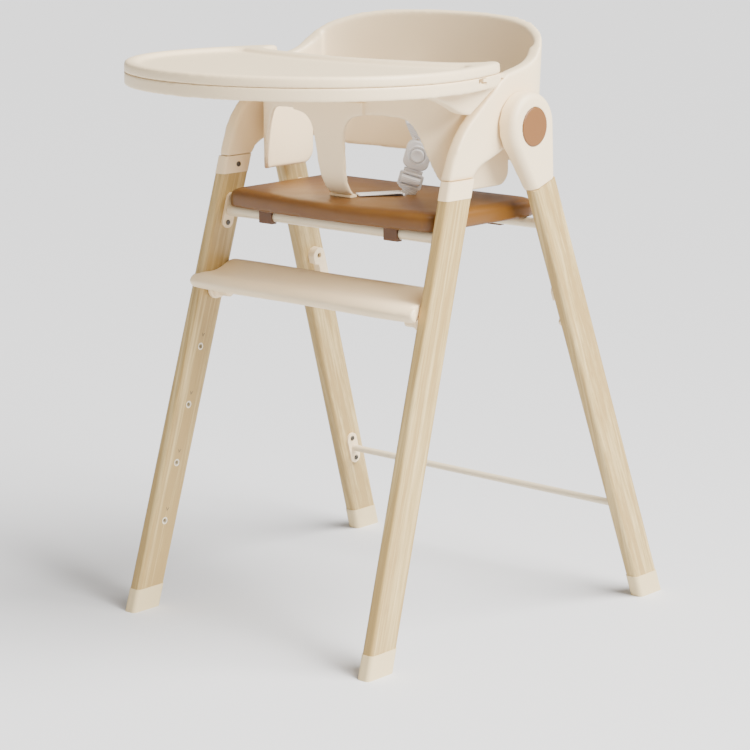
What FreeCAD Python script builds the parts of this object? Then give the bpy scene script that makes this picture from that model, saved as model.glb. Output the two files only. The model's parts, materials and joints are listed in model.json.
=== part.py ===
import FreeCAD, Part
import math
import os
from types import SimpleNamespace

import Sketcher
from FreeCAD import Matrix, Placement, Rotation, Vector

# Folding wooden high chair. Millimetres, +Z up, the child faces -Y, the child's left is +X.
# Everything is laid out in a working frame whose Y = 0 lies midway between the front edges
# of the front and rear feet. originY then moves every sub-part so that the origin sits under
# the middle of the whole chair, on the floor.

os.makedirs("parts", exist_ok=True)
doc = FreeCAD.newDocument("high_chair")

sizes = {
    "originY": 18.53,
    # wooden legs: width seen from the side, thickness seen from the front
    "legWidth": 46, "legThick": 18, "legRound": 5,
    "frontToe": -251.3, "frontSlope": 16.13, "frontOuter": 216, "frontLean": 1.5,
    "rearToe": 251.3, "rearSlope": 19, "rearOuter": 266, "rearLean": 3.85,
    "woodTop": 570, "tenonInset": 3.5, "tenonLength": 17,
    "shoeHeight": 30, "shoeSole": 6, "shoeProud": 0.8, "collarHeight": 23,
    # fold hinge in the hub
    "hubY": 52, "hubZ": 652, "hubRadius": 43, "capInner": 202.3, "capOuter": 227, "capEdge": 10,
    "pinRadius": 6, "runningGap": 0.05, "bushWall": 2.5, "bushFlange": 13, "headRadius": 9,
    "buttonRadius": 24.5, "buttonThick": 5.5, "buttonProud": 1, "buttonTravel": 4,
    # cross tubes and their oval end plates
    "frontBarRadius": 7.5, "rearBarRadius": 6.5,
    "crossbarZ": 130, "crossbarRadius": 4.8, "barEndGap": 0.5,
    "plateLength": 48, "plateWidth": 19, "plateThick": 3, "plateScrewPitch": 33,
    "screwRadius": 1.9, "screwHead": 3.6, "screwLength": 13,
    # seat
    "seatTop": 555, "padThick": 26, "baseThick": 4, "baseInset": 12, "seatFront": -103,
    "seatCorner": -88, "seatRear": 120, "seatFrontHalf": 179, "seatRearHalf": 187,
    "seatRound": 24, "topRound": 12, "clipX": 108, "rearClipX": 128, "clipWidth": 22,
    "clipWall": 2.2,
    # shell: backrest with the two arms
    "shellHalf": 203, "shellMidY": 80, "shellDepthTop": 101, "shellDepthLow": 73,
    "shellNarrow": 4, "wallLow": 5.5, "wallHigh": 13.5, "armThick": 18,
    "rimSide": 717, "rimMid": 731, "rimTop": 780, "backLow": 592,
    # front guard with the crotch post
    "guardHalf": 172, "guardMidY": -5, "guardDepth": 77, "guardThick": 6.5,
    "guardTop": 702, "guardLow": 573, "holeTop": 665, "wingRear": 71, "wingRound": 20,
    "postFootY": -58, "postTopY": -82, "postHalf": 16.5, "postTopHalf": 26, "footThick": 3,
    # tray
    "trayHalf": 235, "trayMidY": -130, "trayReach": 208, "trayTop": 734, "trayRim": 16,
    "trayDish": 6, "linerThick": 14, "trayThick": 31, "trayWall": 3.5, "hornTip": 24,
    "skirtInner": 187, "skirtOuter": 205, "latchTravel": 7,
    # footrest and the threaded inserts it can be bolted to
    "holeLow": 116, "holePitch": 79, "holeCount": 5, "insertRadius": 5, "boltRadius": 3,
    "insertLength": 13, "restFront": -149, "restRear": -58, "restTip": 193,
    "restFrontZ": 442, "restRearZ": 455, "restThick": 14, "earThick": 9, "earRadius": 13, "knobRadius": 9.5,
    "knobLength": 25,
    # hooks that carry the tray when the chair is folded
    "hookZ": 414, "hookLength": 62, "hookWidth": 22, "hookThick": 11, "hookScrewDeep": 5,
    "latchWidth": 10, "latchHeight": 5, "latchZ": 714, "slotX": 60, "slotZ": 690,
    # harness
    "webWidth": 25, "webThick": 1.6, "softGap": 0.3, "buckleX": 68, "buckleWide": 34,
    "buckleHigh": 38, "buckleThick": 11, "pressRadius": 9,
}
sheet = doc.addObject("Spreadsheet::Sheet", "dims")
for row, (alias, value) in enumerate(sizes.items(), start=1):
    sheet.set("A%d" % row, alias)
    sheet.set("B%d" % row, str(value))
    sheet.setAlias("B%d" % row, alias)
doc.recompute()
d = SimpleNamespace(**{alias: float(sheet.get(alias)) for alias in sizes})
# both seat tubes carry the underside of the pad
d.frontBarZ = d.seatTop - d.padThick - d.frontBarRadius
d.rearBarZ = d.seatTop - d.padThick - d.rearBarRadius

finished = []


def tanDeg(angle):
    return math.tan(math.radians(angle))


def keep(obj, label):
    """Name a finished sub-part and set it in the chair's own frame."""
    obj.Label = label
    obj.setExpression("Placement.Base.y", "dims.originY")
    finished.append(obj)
    return obj


def mirrored(source, label):
    """The same sub-part on the other side of the chair."""
    twin = doc.addObject("Part::Mirroring", label + "_twin")
    twin.Source = source
    twin.Normal = Vector(1, 0, 0)
    twin.Label = label
    finished.append(twin)
    return twin


def pair(obj, name):
    keep(obj, name + "_left")
    mirrored(obj, name + "_right")


def framed(x, y, z, origin):
    """A placement from its three axes and its origin."""
    return Placement(Matrix(x.x, y.x, z.x, origin.x, x.y, y.y, z.y, origin.y,
                            x.z, y.z, z.z, origin.z, 0, 0, 0, 1))


def feature(name, shape):
    """A document object for a finished shape, wrapped so that its own placement stays free."""
    obj = doc.addObject("Part::Feature", name)
    obj.Shape = Part.makeCompound([shape])
    return obj


def boolean(kind, name, base, tool):
    obj = doc.addObject("Part::" + kind, name)
    obj.Base = base
    obj.Tool = tool
    return obj


def fused(name, pieces):
    obj = doc.addObject("Part::MultiFuse", name)
    obj.Shapes = pieces
    return obj


def plane(body, role):
    return [o for o in body.Origin.OriginFeatures if o.Role == role][0]


def rectangleSketch(body, name, role, offset, x, y, width, depth):
    """A constrained rectangle; x and y place its lowest corner, all as expressions."""
    sketch = body.newObject("Sketcher::SketchObject", name)
    sketch.AttachmentSupport = (plane(body, role), "")
    sketch.MapMode = "FlatFace"
    sketch.setExpression("AttachmentOffset.Base.z", offset)
    corners = [Vector(0, 0, 0), Vector(20, 0, 0), Vector(20, 40, 0), Vector(0, 40, 0)]
    for i in range(4):
        sketch.addGeometry(Part.LineSegment(corners[i], corners[(i + 1) % 4]), False)
    for i in range(4):
        sketch.addConstraint(Sketcher.Constraint("Coincident", i, 2, (i + 1) % 4, 1))
    for kind, line in (("Horizontal", 0), ("Vertical", 1), ("Horizontal", 2), ("Vertical", 3)):
        sketch.addConstraint(Sketcher.Constraint(kind, line))
    for constraint, expression in (
        (Sketcher.Constraint("DistanceX", -1, 1, 0, 1, 1.0), x),
        (Sketcher.Constraint("DistanceY", -1, 1, 0, 1, 1.0), y),
        (Sketcher.Constraint("DistanceX", 0, 1, 0, 2, 20.0), width),
        (Sketcher.Constraint("DistanceY", 1, 1, 1, 2, 40.0), depth),
    ):
        index = sketch.addConstraint(constraint)
        sketch.setExpression("Constraints[%d]" % index, expression)
    return sketch


# ---------------------------------------------------------------- legs, feet and collars

# A leg's horizontal section is a rectangle that slides along the slanted leg, so every cut
# across it is level. lean is the inward slant, slope the fore and aft one.
LEGS = {
    "front": dict(toe="dims.frontToe", rise="tan(dims.frontSlope * 1 deg)",
                  outer="dims.frontOuter", lean="tan(dims.frontLean * 1 deg)",
                  depth="dims.legWidth / cos(dims.frontSlope * 1 deg)"),
    "rear": dict(toe="dims.rearToe", rise="-tan(dims.rearSlope * 1 deg)",
                 outer="dims.rearOuter", lean="tan(dims.rearLean * 1 deg)",
                 depth="dims.legWidth / cos(dims.rearSlope * 1 deg)"),
}


def slantedBar(name, leg, low, high, inset, rounding):
    """A stretch of leg between two heights, its section drawn in by inset."""
    spec = LEGS[leg]
    body = doc.addObject("PartDesign::Body", name)
    place = dict(spec, z=low, inset=inset)
    sketch = rectangleSketch(
        body, name + "_section", "XY_Plane", low,
        "{outer} - ({z}) * {lean} - dims.legThick + ({inset})".format(**place),
        "{toe} + ({z}) * {rise} + ({inset})".format(**place),
        "dims.legThick - 2 * ({inset})".format(**place),
        "{depth} - 2 * ({inset})".format(**place),
    )
    doc.recompute()
    pad = body.newObject("PartDesign::Pad", name + "_pad")
    pad.Profile = sketch
    pad.UseCustomVector = True
    pad.AlongSketchNormal = True
    pad.Direction = Vector(0, 0, 1)
    pad.setExpression("Direction.x", "-(%s)" % spec["lean"])
    pad.setExpression("Direction.y", spec["rise"])
    pad.setExpression("Length", "(%s) - (%s)" % (high, low))
    doc.recompute()
    along = ["Edge%d" % (i + 1) for i, edge in enumerate(pad.Shape.Edges)
             if abs(edge.Vertexes[0].Z - edge.Vertexes[-1].Z) > 1]
    fillet = body.newObject("PartDesign::Fillet", name + "_fillet")
    fillet.Base = (pad, along)
    fillet.setExpression("Radius", rounding)
    return body


def legOuter(leg, z):
    outer, lean = (d.frontOuter, d.frontLean) if leg == "front" else (d.rearOuter, d.rearLean)
    return outer - z * tanDeg(lean)


def legInner(leg, z):
    return legOuter(leg, z) - d.legThick


def legMid(leg, z):
    """Y of the leg's centre line at a height."""
    if leg == "front":
        return d.frontToe + z * tanDeg(d.frontSlope) + legDepth(leg) / 2
    return d.rearToe - z * tanDeg(d.rearSlope) + legDepth(leg) / 2


def legDepth(leg):
    slope = d.frontSlope if leg == "front" else d.rearSlope
    return d.legWidth / math.cos(math.radians(slope))


def onLeg(leg, z, lift=0.0):
    """Frame on the inner face of the left leg: local Z points into the chair, local Y up it."""
    rise = tanDeg(d.frontSlope) if leg == "front" else -tanDeg(d.rearSlope)
    lean = tanDeg(d.frontLean if leg == "front" else d.rearLean)
    up = Vector(-lean, rise, 1).normalize()
    inward = Vector(-1, 0, -lean).normalize()
    across = up.cross(inward)
    base = Vector(legInner(leg, z), legMid(leg, z), z) + inward * lift
    return framed(across, up, inward, base)


holeHeights = [d.holeLow + i * d.holePitch * math.cos(math.radians(d.frontSlope))
               for i in range(int(d.holeCount))]
restZ = holeHeights[-1]
restY = legMid("front", restZ)

WOOD_BOTTOM = "dims.shoeHeight"
TENON_BOTTOM = "dims.shoeSole + 0.5"

frontWood = fused("front_leg_wood", [
    slantedBar("front_leg_main", "front", WOOD_BOTTOM, "dims.woodTop", "0", "dims.legRound"),
    slantedBar("front_leg_core", "front", TENON_BOTTOM, "dims.woodTop + dims.tenonLength",
               "dims.tenonInset", "1.5"),
])
insertHoles = []
for i, z in enumerate(holeHeights):
    x = legInner("front", z)
    hole = doc.addObject("Part::Cylinder", "insert_hole_%d" % i)
    hole.setExpression("Radius", "dims.insertRadius")
    hole.setExpression("Height", "dims.insertLength + 4.5")
    hole.Placement = Placement(Vector(x - 4, legMid("front", z), z), Rotation(Vector(0, 1, 0), 90))
    insertHoles.append(hole)
frontLeg = boolean("Cut", "front_leg_bored", frontWood, fused("insert_holes", insertHoles))
pair(frontLeg, "front_leg")

# the rear leg ends square to its own length, where the hub cap sits
capSeat = Placement(Vector(0, d.rearToe - d.woodTop * tanDeg(d.rearSlope), d.woodTop),
                    Rotation(Vector(1, 0, 0), d.rearSlope))


def aboveCapSeat(name, lift):
    """Everything beyond the rear leg's square end, raised by lift."""
    block = doc.addObject("Part::Box", name)
    block.Length, block.Width, block.Height = 300, 200, 200
    block.Placement = capSeat.multiply(Placement(Vector(50, -80, lift), Rotation()))
    return block


rearMain = boolean("Cut", "rear_leg_trimmed",
                   slantedBar("rear_leg_main", "rear", WOOD_BOTTOM, "dims.woodTop + 40", "0",
                              "dims.legRound"), aboveCapSeat("above_cap_seat", 0))
rearCore = boolean("Cut", "rear_leg_core",
                   slantedBar("rear_leg_core_bar", "rear", TENON_BOTTOM, "dims.woodTop + 60",
                              "dims.tenonInset", "1.5"),
                   aboveCapSeat("above_tenon", d.tenonLength))
pair(fused("rear_leg_wood", [rearMain, rearCore]), "rear_leg")

for leg in ("front", "rear"):
    block = slantedBar(leg + "_shoe_block", leg, "0", "dims.shoeHeight - 0.1",
                       "-dims.shoeProud", "dims.legRound + dims.shoeProud")
    socket = slantedBar(leg + "_shoe_socket", leg, "dims.shoeSole", "dims.shoeHeight + 1",
                        "dims.tenonInset - 0.1", "1.5")
    pair(boolean("Cut", leg + "_shoe", block, socket), leg + "_foot")

collarTop = "dims.woodTop + dims.collarHeight"
collarBlock = slantedBar("collar_block", "front", "dims.woodTop + 0.1", collarTop,
                         "-0.4", "dims.legRound")
collarSocket = slantedBar("collar_socket", "front", "dims.woodTop - 1",
                          "dims.woodTop + dims.tenonLength + 0.5", "dims.tenonInset - 0.1", "1.5")
pair(boolean("Cut", "collar_cut", collarBlock, collarSocket), "arm_collar")


# ---------------------------------------------------------------- screws and end plates

def screw():
    """A pan-head screw whose head stands on local Z = 0 and whose shank points down."""
    head = Part.makeCylinder(d.screwHead, 1.7, Vector(0, 0, 0))
    head = head.makeFillet(1.0, [e for e in head.Edges if e.BoundBox.ZMin > 1])
    recess = Part.makeCylinder(1.3, 1.2, Vector(0, 0, 0.9), Vector(0, 0, 1))
    shank = Part.makeCylinder(d.screwRadius, d.screwLength, Vector(0, 0, -d.screwLength))
    return head.cut(recess).fuse(shank)


def screwGroup(label, frames):
    """One node holding the same screw at each frame and at its mirror image."""
    shapes = []
    for frame in frames:
        one = screw()
        one.Placement = frame
        shapes += [one, one.mirror(Vector(0, 0, 0), Vector(1, 0, 0))]
    obj = feature(label + "_group", Part.makeCompound(shapes))
    obj.Label = label
    obj.Placement = Placement(Vector(0, d.originY, 0), Rotation())
    finished.append(obj)


def ovalPlate(name, leg, z):
    """A round-ended plate lying on the leg's inner face with two screw holes."""
    body = doc.addObject("PartDesign::Body", name)
    sketch = body.newObject("Sketcher::SketchObject", name + "_outline")
    sketch.AttachmentSupport = (plane(body, "XY_Plane"), "")
    sketch.MapMode = "FlatFace"
    r = d.plateWidth / 2
    half = d.plateLength / 2 - r
    sketch.addGeometry([
        Part.ArcOfCircle(Part.Circle(Vector(0, half, 0), Vector(0, 0, 1), r), 0, math.pi),
        Part.ArcOfCircle(Part.Circle(Vector(0, -half, 0), Vector(0, 0, 1), r), math.pi, 2 * math.pi),
        Part.LineSegment(Vector(-r, half, 0), Vector(-r, -half, 0)),
        Part.LineSegment(Vector(r, -half, 0), Vector(r, half, 0)),
        Part.Circle(Vector(0, d.plateScrewPitch / 2, 0), Vector(0, 0, 1), d.screwRadius + 0.1),
        Part.Circle(Vector(0, -d.plateScrewPitch / 2, 0), Vector(0, 0, 1), d.screwRadius + 0.1),
    ], False)
    for a, b in (((0, 2), (2, 1)), ((2, 2), (1, 1)), ((1, 2), (3, 1)), ((3, 2), (0, 1))):
        sketch.addConstraint(Sketcher.Constraint("Tangent", a[0], a[1], b[0], b[1]))
    sketch.addConstraint(Sketcher.Constraint("Symmetric", 0, 3, 1, 3, -1, 1))
    sketch.addConstraint(Sketcher.Constraint("PointOnObject", 0, 3, -2))
    for index, expression in (
        (sketch.addConstraint(Sketcher.Constraint("Radius", 0, r)), "dims.plateWidth / 2"),
        (sketch.addConstraint(Sketcher.Constraint("DistanceY", 1, 3, 0, 3, 2 * half)),
         "dims.plateLength - dims.plateWidth"),
    ):
        sketch.setExpression("Constraints[%d]" % index, expression)
    doc.recompute()
    pad = body.newObject("PartDesign::Pad", name + "_pad")
    pad.Profile = sketch
    pad.setExpression("Length", "dims.plateThick")
    body.Placement = onLeg(leg, z)
    return body


def endPlates(label, leg, z):
    plateBody = ovalPlate(label + "_body", leg, z)
    shape = doc.addObject("Part::Compound", label + "_set")
    shape.Links = [plateBody]
    pair(shape, label)
    return [onLeg(leg, z, d.plateThick).multiply(Placement(Vector(0, s * d.plateScrewPitch / 2, 0),
                                                           Rotation())) for s in (-1, 1)]


def tube(label, leg, z, radius):
    reach = legInner(leg, z) - d.plateThick - d.barEndGap
    obj = doc.addObject("Part::Cylinder", label + "_rod")
    obj.setExpression("Radius", radius)
    obj.setExpression("Height", "%.6f - 2 * (dims.plateThick + dims.barEndGap)" % (2 * legInner(leg, z)))
    obj.Placement = Placement(Vector(-reach, legMid(leg, z), z), Rotation(Vector(0, 1, 0), 90))
    obj.Label = label
    obj.setExpression("Placement.Base.y", "%.6f + dims.originY" % legMid(leg, z))
    finished.append(obj)


frontBarY = legMid("front", d.frontBarZ)
rearBarY = legMid("rear", d.rearBarZ)
tube("front_seat_bar", "front", d.frontBarZ, "dims.frontBarRadius")
tube("rear_seat_bar", "rear", d.rearBarZ, "dims.rearBarRadius")
tube("rear_crossbar", "rear", d.crossbarZ, "dims.crossbarRadius")
frontScrews = endPlates("front_bar_plate", "front", d.frontBarZ)
screwGroup("front_plate_screws", frontScrews)
screwGroup("rear_plate_screws", endPlates("rear_bar_plate", "rear", d.rearBarZ))
screwGroup("crossbar_screws", endPlates("crossbar_plate", "rear", d.crossbarZ))

collarScrewZ = d.woodTop + d.collarHeight / 2
collarScrewFrame = onLeg("front", collarScrewZ, 0.4)
screwGroup("collar_screws", [collarScrewFrame])


# ---------------------------------------------------------------- rear hooks for the folded tray

hookBody = doc.addObject("PartDesign::Body", "tray_hook_body")
hookSketch = hookBody.newObject("Sketcher::SketchObject", "tray_hook_outline")
hookSketch.AttachmentSupport = (plane(hookBody, "XY_Plane"), "")
hookSketch.MapMode = "FlatFace"
r = d.hookWidth / 2
hookHalf = d.hookLength / 2 - r
slotTop, slotLow, slotLip = hookHalf * 0.35, 6 - hookHalf, r * 0.35
hookSketch.addGeometry([
    Part.ArcOfCircle(Part.Circle(Vector(0, hookHalf, 0), Vector(0, 0, 1), r), 0, math.pi),
    Part.LineSegment(Vector(-r, hookHalf, 0), Vector(-r, -hookHalf, 0)),
    Part.ArcOfCircle(Part.Circle(Vector(0, -hookHalf, 0), Vector(0, 0, 1), r), math.pi, 2 * math.pi),
    Part.LineSegment(Vector(r, -hookHalf, 0), Vector(slotLip, slotLow, 0)),
    Part.LineSegment(Vector(slotLip, slotLow, 0), Vector(slotLip, slotTop, 0)),
    Part.LineSegment(Vector(slotLip, slotTop, 0), Vector(r, slotTop + 4, 0)),
    Part.LineSegment(Vector(r, slotTop + 4, 0), Vector(r, hookHalf, 0)),
], False)
doc.recompute()
hookPad = hookBody.newObject("PartDesign::Pad", "tray_hook_pad")
hookPad.Profile = hookSketch
hookPad.setExpression("Length", "dims.hookThick")
hookBody.Placement = onLeg("rear", d.hookZ)
screwSeat = onLeg("rear", d.hookZ, d.hookScrewDeep).multiply(Placement(Vector(0, hookHalf, 0), Rotation()))
wells = []
for name, radius, start in (("hook_head_well", d.screwHead + 0.3, 0),
                            ("hook_shank_hole", d.screwRadius + 0.1, -d.hookScrewDeep - 1)):
    well = doc.addObject("Part::Cylinder", name)
    well.Radius, well.Height = radius, d.hookThick + 2
    well.Placement = screwSeat.multiply(Placement(Vector(0, 0, start), Rotation()))
    wells.append(well)
pair(boolean("Cut", "tray_hook_bored", hookBody, fused("hook_wells", wells)), "tray_hook")
screwGroup("hook_screws", [screwSeat])


# ---------------------------------------------------------------- hub: cap, bush, pin, button

def outline(points):
    """A closed wire through straight runs (two points) and splines (more points)."""
    edges = []
    for run in points:
        vectors = [Vector(*p) for p in run]
        if len(vectors) == 2:
            edges.append(Part.LineSegment(*vectors).toShape())
        else:
            curve = Part.BSplineCurve()
            curve.interpolate(vectors)
            edges.append(curve.toShape())
    return Part.Wire(Part.__sortEdges__(edges))


def sideSlab(wire, x0, x1):
    """A wire drawn in the YZ plane, made a slab between two X positions."""
    slab = Part.Face(wire).extrude(Vector(x1 - x0, 0, 0))
    slab.translate(Vector(x0, 0, 0))
    return slab


legUp = Vector(0, -math.sin(math.radians(d.rearSlope)), math.cos(math.radians(d.rearSlope)))
legAcross = Vector(0, legUp.z, -legUp.y)
seatFrontEdge = Vector(0, d.rearToe - d.woodTop * tanDeg(d.rearSlope), d.woodTop)
seatRearEdge = seatFrontEdge + legAcross * d.legWidth
hub = Vector(0, d.hubY, d.hubZ)


def tangentPoint(point, side):
    """Where a line from a point touches the hub's circle; side is -1 or 1."""
    toHub = hub - point
    reach = toHub.Length
    angle = math.asin(d.hubRadius / reach)
    length = math.sqrt(reach ** 2 - d.hubRadius ** 2)
    turned = Rotation(Vector(1, 0, 0), math.degrees(side * angle)).multVec(toHub).normalize()
    return point + turned * length


touches = [tangentPoint(seatFrontEdge, side) for side in (-1, 1)]
frontTouch = min(touches, key=lambda point: point.y)
touches = [tangentPoint(seatRearEdge, side) for side in (-1, 1)]
rearTouch = max(touches, key=lambda point: point.y)
crown = hub + legUp * d.hubRadius
capWire = Part.Wire([
    Part.LineSegment(seatFrontEdge, frontTouch).toShape(),
    Part.Arc(frontTouch, crown, rearTouch).toShape(),
    Part.LineSegment(rearTouch, seatRearEdge).toShape(),
    Part.LineSegment(seatRearEdge, seatFrontEdge).toShape(),
])
capSolid = sideSlab(capWire, d.capInner, d.capOuter)
rimEdges = [e for e in capSolid.Edges if e.BoundBox.XMin > d.capOuter - 0.5
            and abs((e.CenterOfMass - seatFrontEdge).dot(legUp)) > 1]
capSolid = capSolid.makeFillet(d.capEdge, rimEdges)
# the inner side leans with the leg below the hub
innerLow = d.rearOuter - d.legThick - 0.4
wedgeLow, wedgeHigh = 500, 760
wedge = Part.Face(Part.makePolygon([
    Vector(innerLow - tanDeg(d.rearLean) * wedgeLow, 0, wedgeLow), Vector(d.capInner - 40, 0, wedgeLow),
    Vector(d.capInner - 40, 0, wedgeHigh), Vector(innerLow - tanDeg(d.rearLean) * wedgeHigh, 0, wedgeHigh),
    Vector(innerLow - tanDeg(d.rearLean) * wedgeLow, 0, wedgeLow)])).extrude(Vector(0, 500, 0))
wedge.translate(Vector(0, -200, 0))
capSolid = capSolid.cut(wedge)
headX = d.capInner + 5.2
recessX = d.capOuter - d.buttonThick - d.buttonTravel - 0.6


def drum(radius, x0, x1, y=d.hubY, z=d.hubZ):
    return Part.makeCylinder(radius, x1 - x0, Vector(x0, y, z), Vector(1, 0, 0))


capSolid = capSolid.cut(drum(d.pinRadius + d.bushWall, d.capInner - 1, headX + 1))
capSolid = capSolid.cut(drum(d.headRadius + 0.8, headX, d.capOuter))
capSolid = capSolid.cut(drum(d.buttonRadius + 0.3, recessX, d.capOuter + 5))
capRaw = feature("hub_cap_raw", capSolid)
socketCore = slantedBar("cap_socket_core", "rear", "dims.woodTop - 20", "dims.woodTop + 60",
                        "dims.tenonInset - 0.1", "1.5")
capSocket = boolean("Cut", "cap_socket", socketCore,
                    aboveCapSeat("above_socket", d.tenonLength + 0.5))
pair(boolean("Cut", "hub_cap_cut", capRaw, capSocket), "hub_cap")

bush = drum(d.pinRadius + d.bushWall, d.capInner - 1.1, headX).fuse(
    drum(d.bushFlange, d.capInner - 1.3, d.capInner - 0.1)).cut(
    drum(d.pinRadius + d.runningGap, d.capInner - 5, headX + 1))
pair(feature("hinge_bush_solid", bush), "hinge_bush")
pin = drum(d.pinRadius, d.shellHalf - d.armThick + 2, headX + 0.1).fuse(
    drum(d.headRadius, headX + 0.1, headX + 3))
pair(feature("hinge_pin_solid", pin), "hinge_pin")
buttonBack = d.capOuter + d.buttonProud - d.buttonThick
button = drum(d.buttonRadius, buttonBack, d.capOuter + d.buttonProud)
button = button.makeFillet(1.6, [e for e in button.Edges
                                 if e.BoundBox.XMin > d.capOuter + d.buttonProud - 0.1])
pair(feature("hub_button_solid", button), "hub_button")


def coil(start, axis, length, radius, wire, turns):
    """A compression spring between two points, as one swept round wire."""
    helix = Part.makeHelix((length - wire) / turns, length - wire, radius)
    section = Part.Wire([Part.makeCircle(wire / 2, Vector(radius, 0, 0), Vector(0, 1, 0))])
    spring = Part.Wire(helix.Edges).makePipeShell([section], True, True)
    spring.Placement = Placement(start + axis * (wire / 2), Rotation(Vector(0, 0, 1), axis))
    return spring


springStart = headX + 3.05
pair(feature("button_spring_wire", coil(Vector(springStart, d.hubY, d.hubZ), Vector(1, 0, 0),
                                        buttonBack - springStart - 0.1, 2.5, 1, 3)),
     "button_spring")


# ---------------------------------------------------------------- shell: backrest and arms

def uShape(half, depth, mid, front, z):
    """A D-shaped level outline: straight sides and a half-elliptical back shallower than it is wide."""
    ellipse = Part.Ellipse(Vector(half, mid, z), Vector(0, mid + depth, z), Vector(0, mid, z))
    return Part.Wire([
        Part.LineSegment(Vector(half, front, z), Vector(half, mid, z)).toShape(),
        Part.ArcOfEllipse(ellipse, 0, math.pi).toShape(),
        Part.LineSegment(Vector(-half, mid, z), Vector(-half, front, z)).toShape(),
        Part.LineSegment(Vector(-half, front, z), Vector(half, front, z)).toShape()])


SHELL_LOW, SHELL_HIGH = 560, 800


def shellBlock(insetLow, insetHigh, front):
    """The shell's space, drawn in by one amount at its foot and another at its top."""
    low = uShape(d.shellHalf - d.shellNarrow - insetLow, d.shellDepthLow - insetLow, d.shellMidY,
                 front, SHELL_LOW)
    high = uShape(d.shellHalf - insetHigh, d.shellDepthTop - insetHigh, d.shellMidY, front, SHELL_HIGH)
    return Part.makeLoft([low, high], True, True)


collarZ = d.woodTop + d.collarHeight + 0.1
armFront = d.frontToe + collarZ * tanDeg(d.frontSlope)
armRear = armFront + legDepth("front")
shellBack = d.shellMidY + d.shellDepthTop
rimStart = Vector(0, 26, d.rimSide)
rimPoints = [rimStart, Vector(0, 52, 722.5), Vector(0, d.shellMidY, d.rimMid)]
for i in range(1, 5):
    part = i / 4
    rimPoints.append(Vector(0, d.shellMidY + part * d.shellDepthTop,
                            d.rimMid + (d.rimTop - d.rimMid) * math.sin(part * math.pi / 2)))
beyond = Vector(0, shellBack + 20, d.rimTop)
armEdge = [Vector(0, armFront, collarZ), Vector(0, -73, 614), Vector(0, -61, 639),
           Vector(0, -47, 657), Vector(0, -33, 669)]
underEdge = [Vector(0, armRear, collarZ), Vector(0, -20, 605), Vector(0, 0, 613),
             Vector(0, 24, 622), Vector(0, 52, 628), Vector(0, 80, 616), Vector(0, 105, 600),
             Vector(0, 135, d.backLow), Vector(0, shellBack + 20, d.backLow - 2)]


outerBlock = shellBlock(0, 0, -110)
# the wall thickens towards the rim, and the arms are thick all the way up
thinWall = outerBlock.cut(shellBlock(d.wallLow, d.wallHigh, -130))
thickWall = outerBlock.cut(shellBlock(d.armThick, d.armThick, -130))
profile = outline([armEdge, [armEdge[-1], rimStart], rimPoints, [rimPoints[-1], beyond],
                   [beyond, underEdge[-1]], underEdge[::-1], [underEdge[0], armEdge[0]]])
profileSlab = sideSlab(profile, -230, 230)
armEnd = d.shellMidY + 22
armZone = Part.makeBox(460, armEnd + 110, 300, Vector(-230, -110, 540))
shell = thinWall.common(profileSlab).fuse(thickWall.common(profileSlab).common(armZone))
latchMid = (d.skirtInner + d.skirtOuter) / 2
notch = Part.makeBox(d.latchWidth + 1, 34, d.latchHeight + 1,
                     Vector(latchMid - d.latchWidth / 2 - 0.5, -6, d.latchZ - 0.5))
pinHole = drum(d.pinRadius, d.shellHalf - d.armThick - 1, d.shellHalf + 3)
for cutter in (notch, pinHole):
    shell = shell.cut(cutter).cut(cutter.mirror(Vector(0, 0, 0), Vector(1, 0, 0)))
for side in (-1, 1):
    slot = Part.makeBox(d.webWidth + 3, 60, 4, Vector(side * d.slotX - d.webWidth / 2 - 1.5,
                                                       shellBack - 60, d.slotZ))
    shell = shell.cut(slot)
shell = shell.removeSplitter()
keep(feature("seat_shell_solid", shell), "seat_shell")


# ---------------------------------------------------------------- front guard

def guardBlock(inset):
    """A level D: half an ellipse in front, straight wings running back."""
    half, rear, z = d.guardHalf - inset, d.wingRear + inset, d.guardLow
    front = Part.Ellipse(Vector(half, d.guardMidY, z), Vector(0, d.guardMidY + d.guardDepth - inset, z),
                         Vector(0, d.guardMidY, z))
    corners = [Vector(half, d.guardMidY, z), Vector(half, rear, z), Vector(-half, rear, z),
               Vector(-half, d.guardMidY, z)]
    runs = [Part.LineSegment(a, b).toShape() for a, b in zip(corners, corners[1:])]
    wire = Part.Wire(Part.__sortEdges__([Part.ArcOfEllipse(front, math.pi, 2 * math.pi).toShape()] + runs))
    return Part.Face(wire).extrude(Vector(0, 0, d.guardTop - d.guardLow))


guardWall = guardBlock(0).cut(guardBlock(d.guardThick))
# each leg hole as seen from the front, from the post round to the foot of the wing
legHole = outline([
    [(19, 0, 540), (20, 0, 575), (23.5, 0, 611), (d.postTopHalf, 0, 640), (34, 0, 656),
     (50, 0, 663), (75, 0, d.holeTop), (98, 0, d.holeTop - 1), (114, 0, 660), (124, 0, 648),
     (137, 0, 618), (152, 0, 584), (163, 0, d.guardLow - 0.5)],
    [(163, 0, d.guardLow - 0.5), (163, 0, 540)], [(163, 0, 540), (19, 0, 540)]])
holeTool = Part.Face(legHole).extrude(Vector(0, d.guardMidY + 120, 0))
holeTool.translate(Vector(0, -120, 0))
postFront = [Vector(0, d.postTopY - 3, d.guardTop - 20), Vector(0, d.postTopY - 2, 650),
             Vector(0, d.postTopY + 2.5, 611), Vector(0, d.postTopY + 10, 576),
             Vector(0, d.postFootY, d.seatTop + d.footThick)]
postRear = [point + Vector(0, d.guardThick, 0) for point in postFront]
postBack = outline([postFront, [postFront[-1], postRear[-1]], postRear[::-1],
                    [postRear[0], postFront[0]]])
post = sideSlab(postBack, -60, 60)
guardWall = guardWall.cut(Part.makeBox(120, 60, d.holeTop - d.guardLow,
                                       Vector(-60, -100, d.guardLow)))
guard = guardWall.fuse(post)
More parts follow.
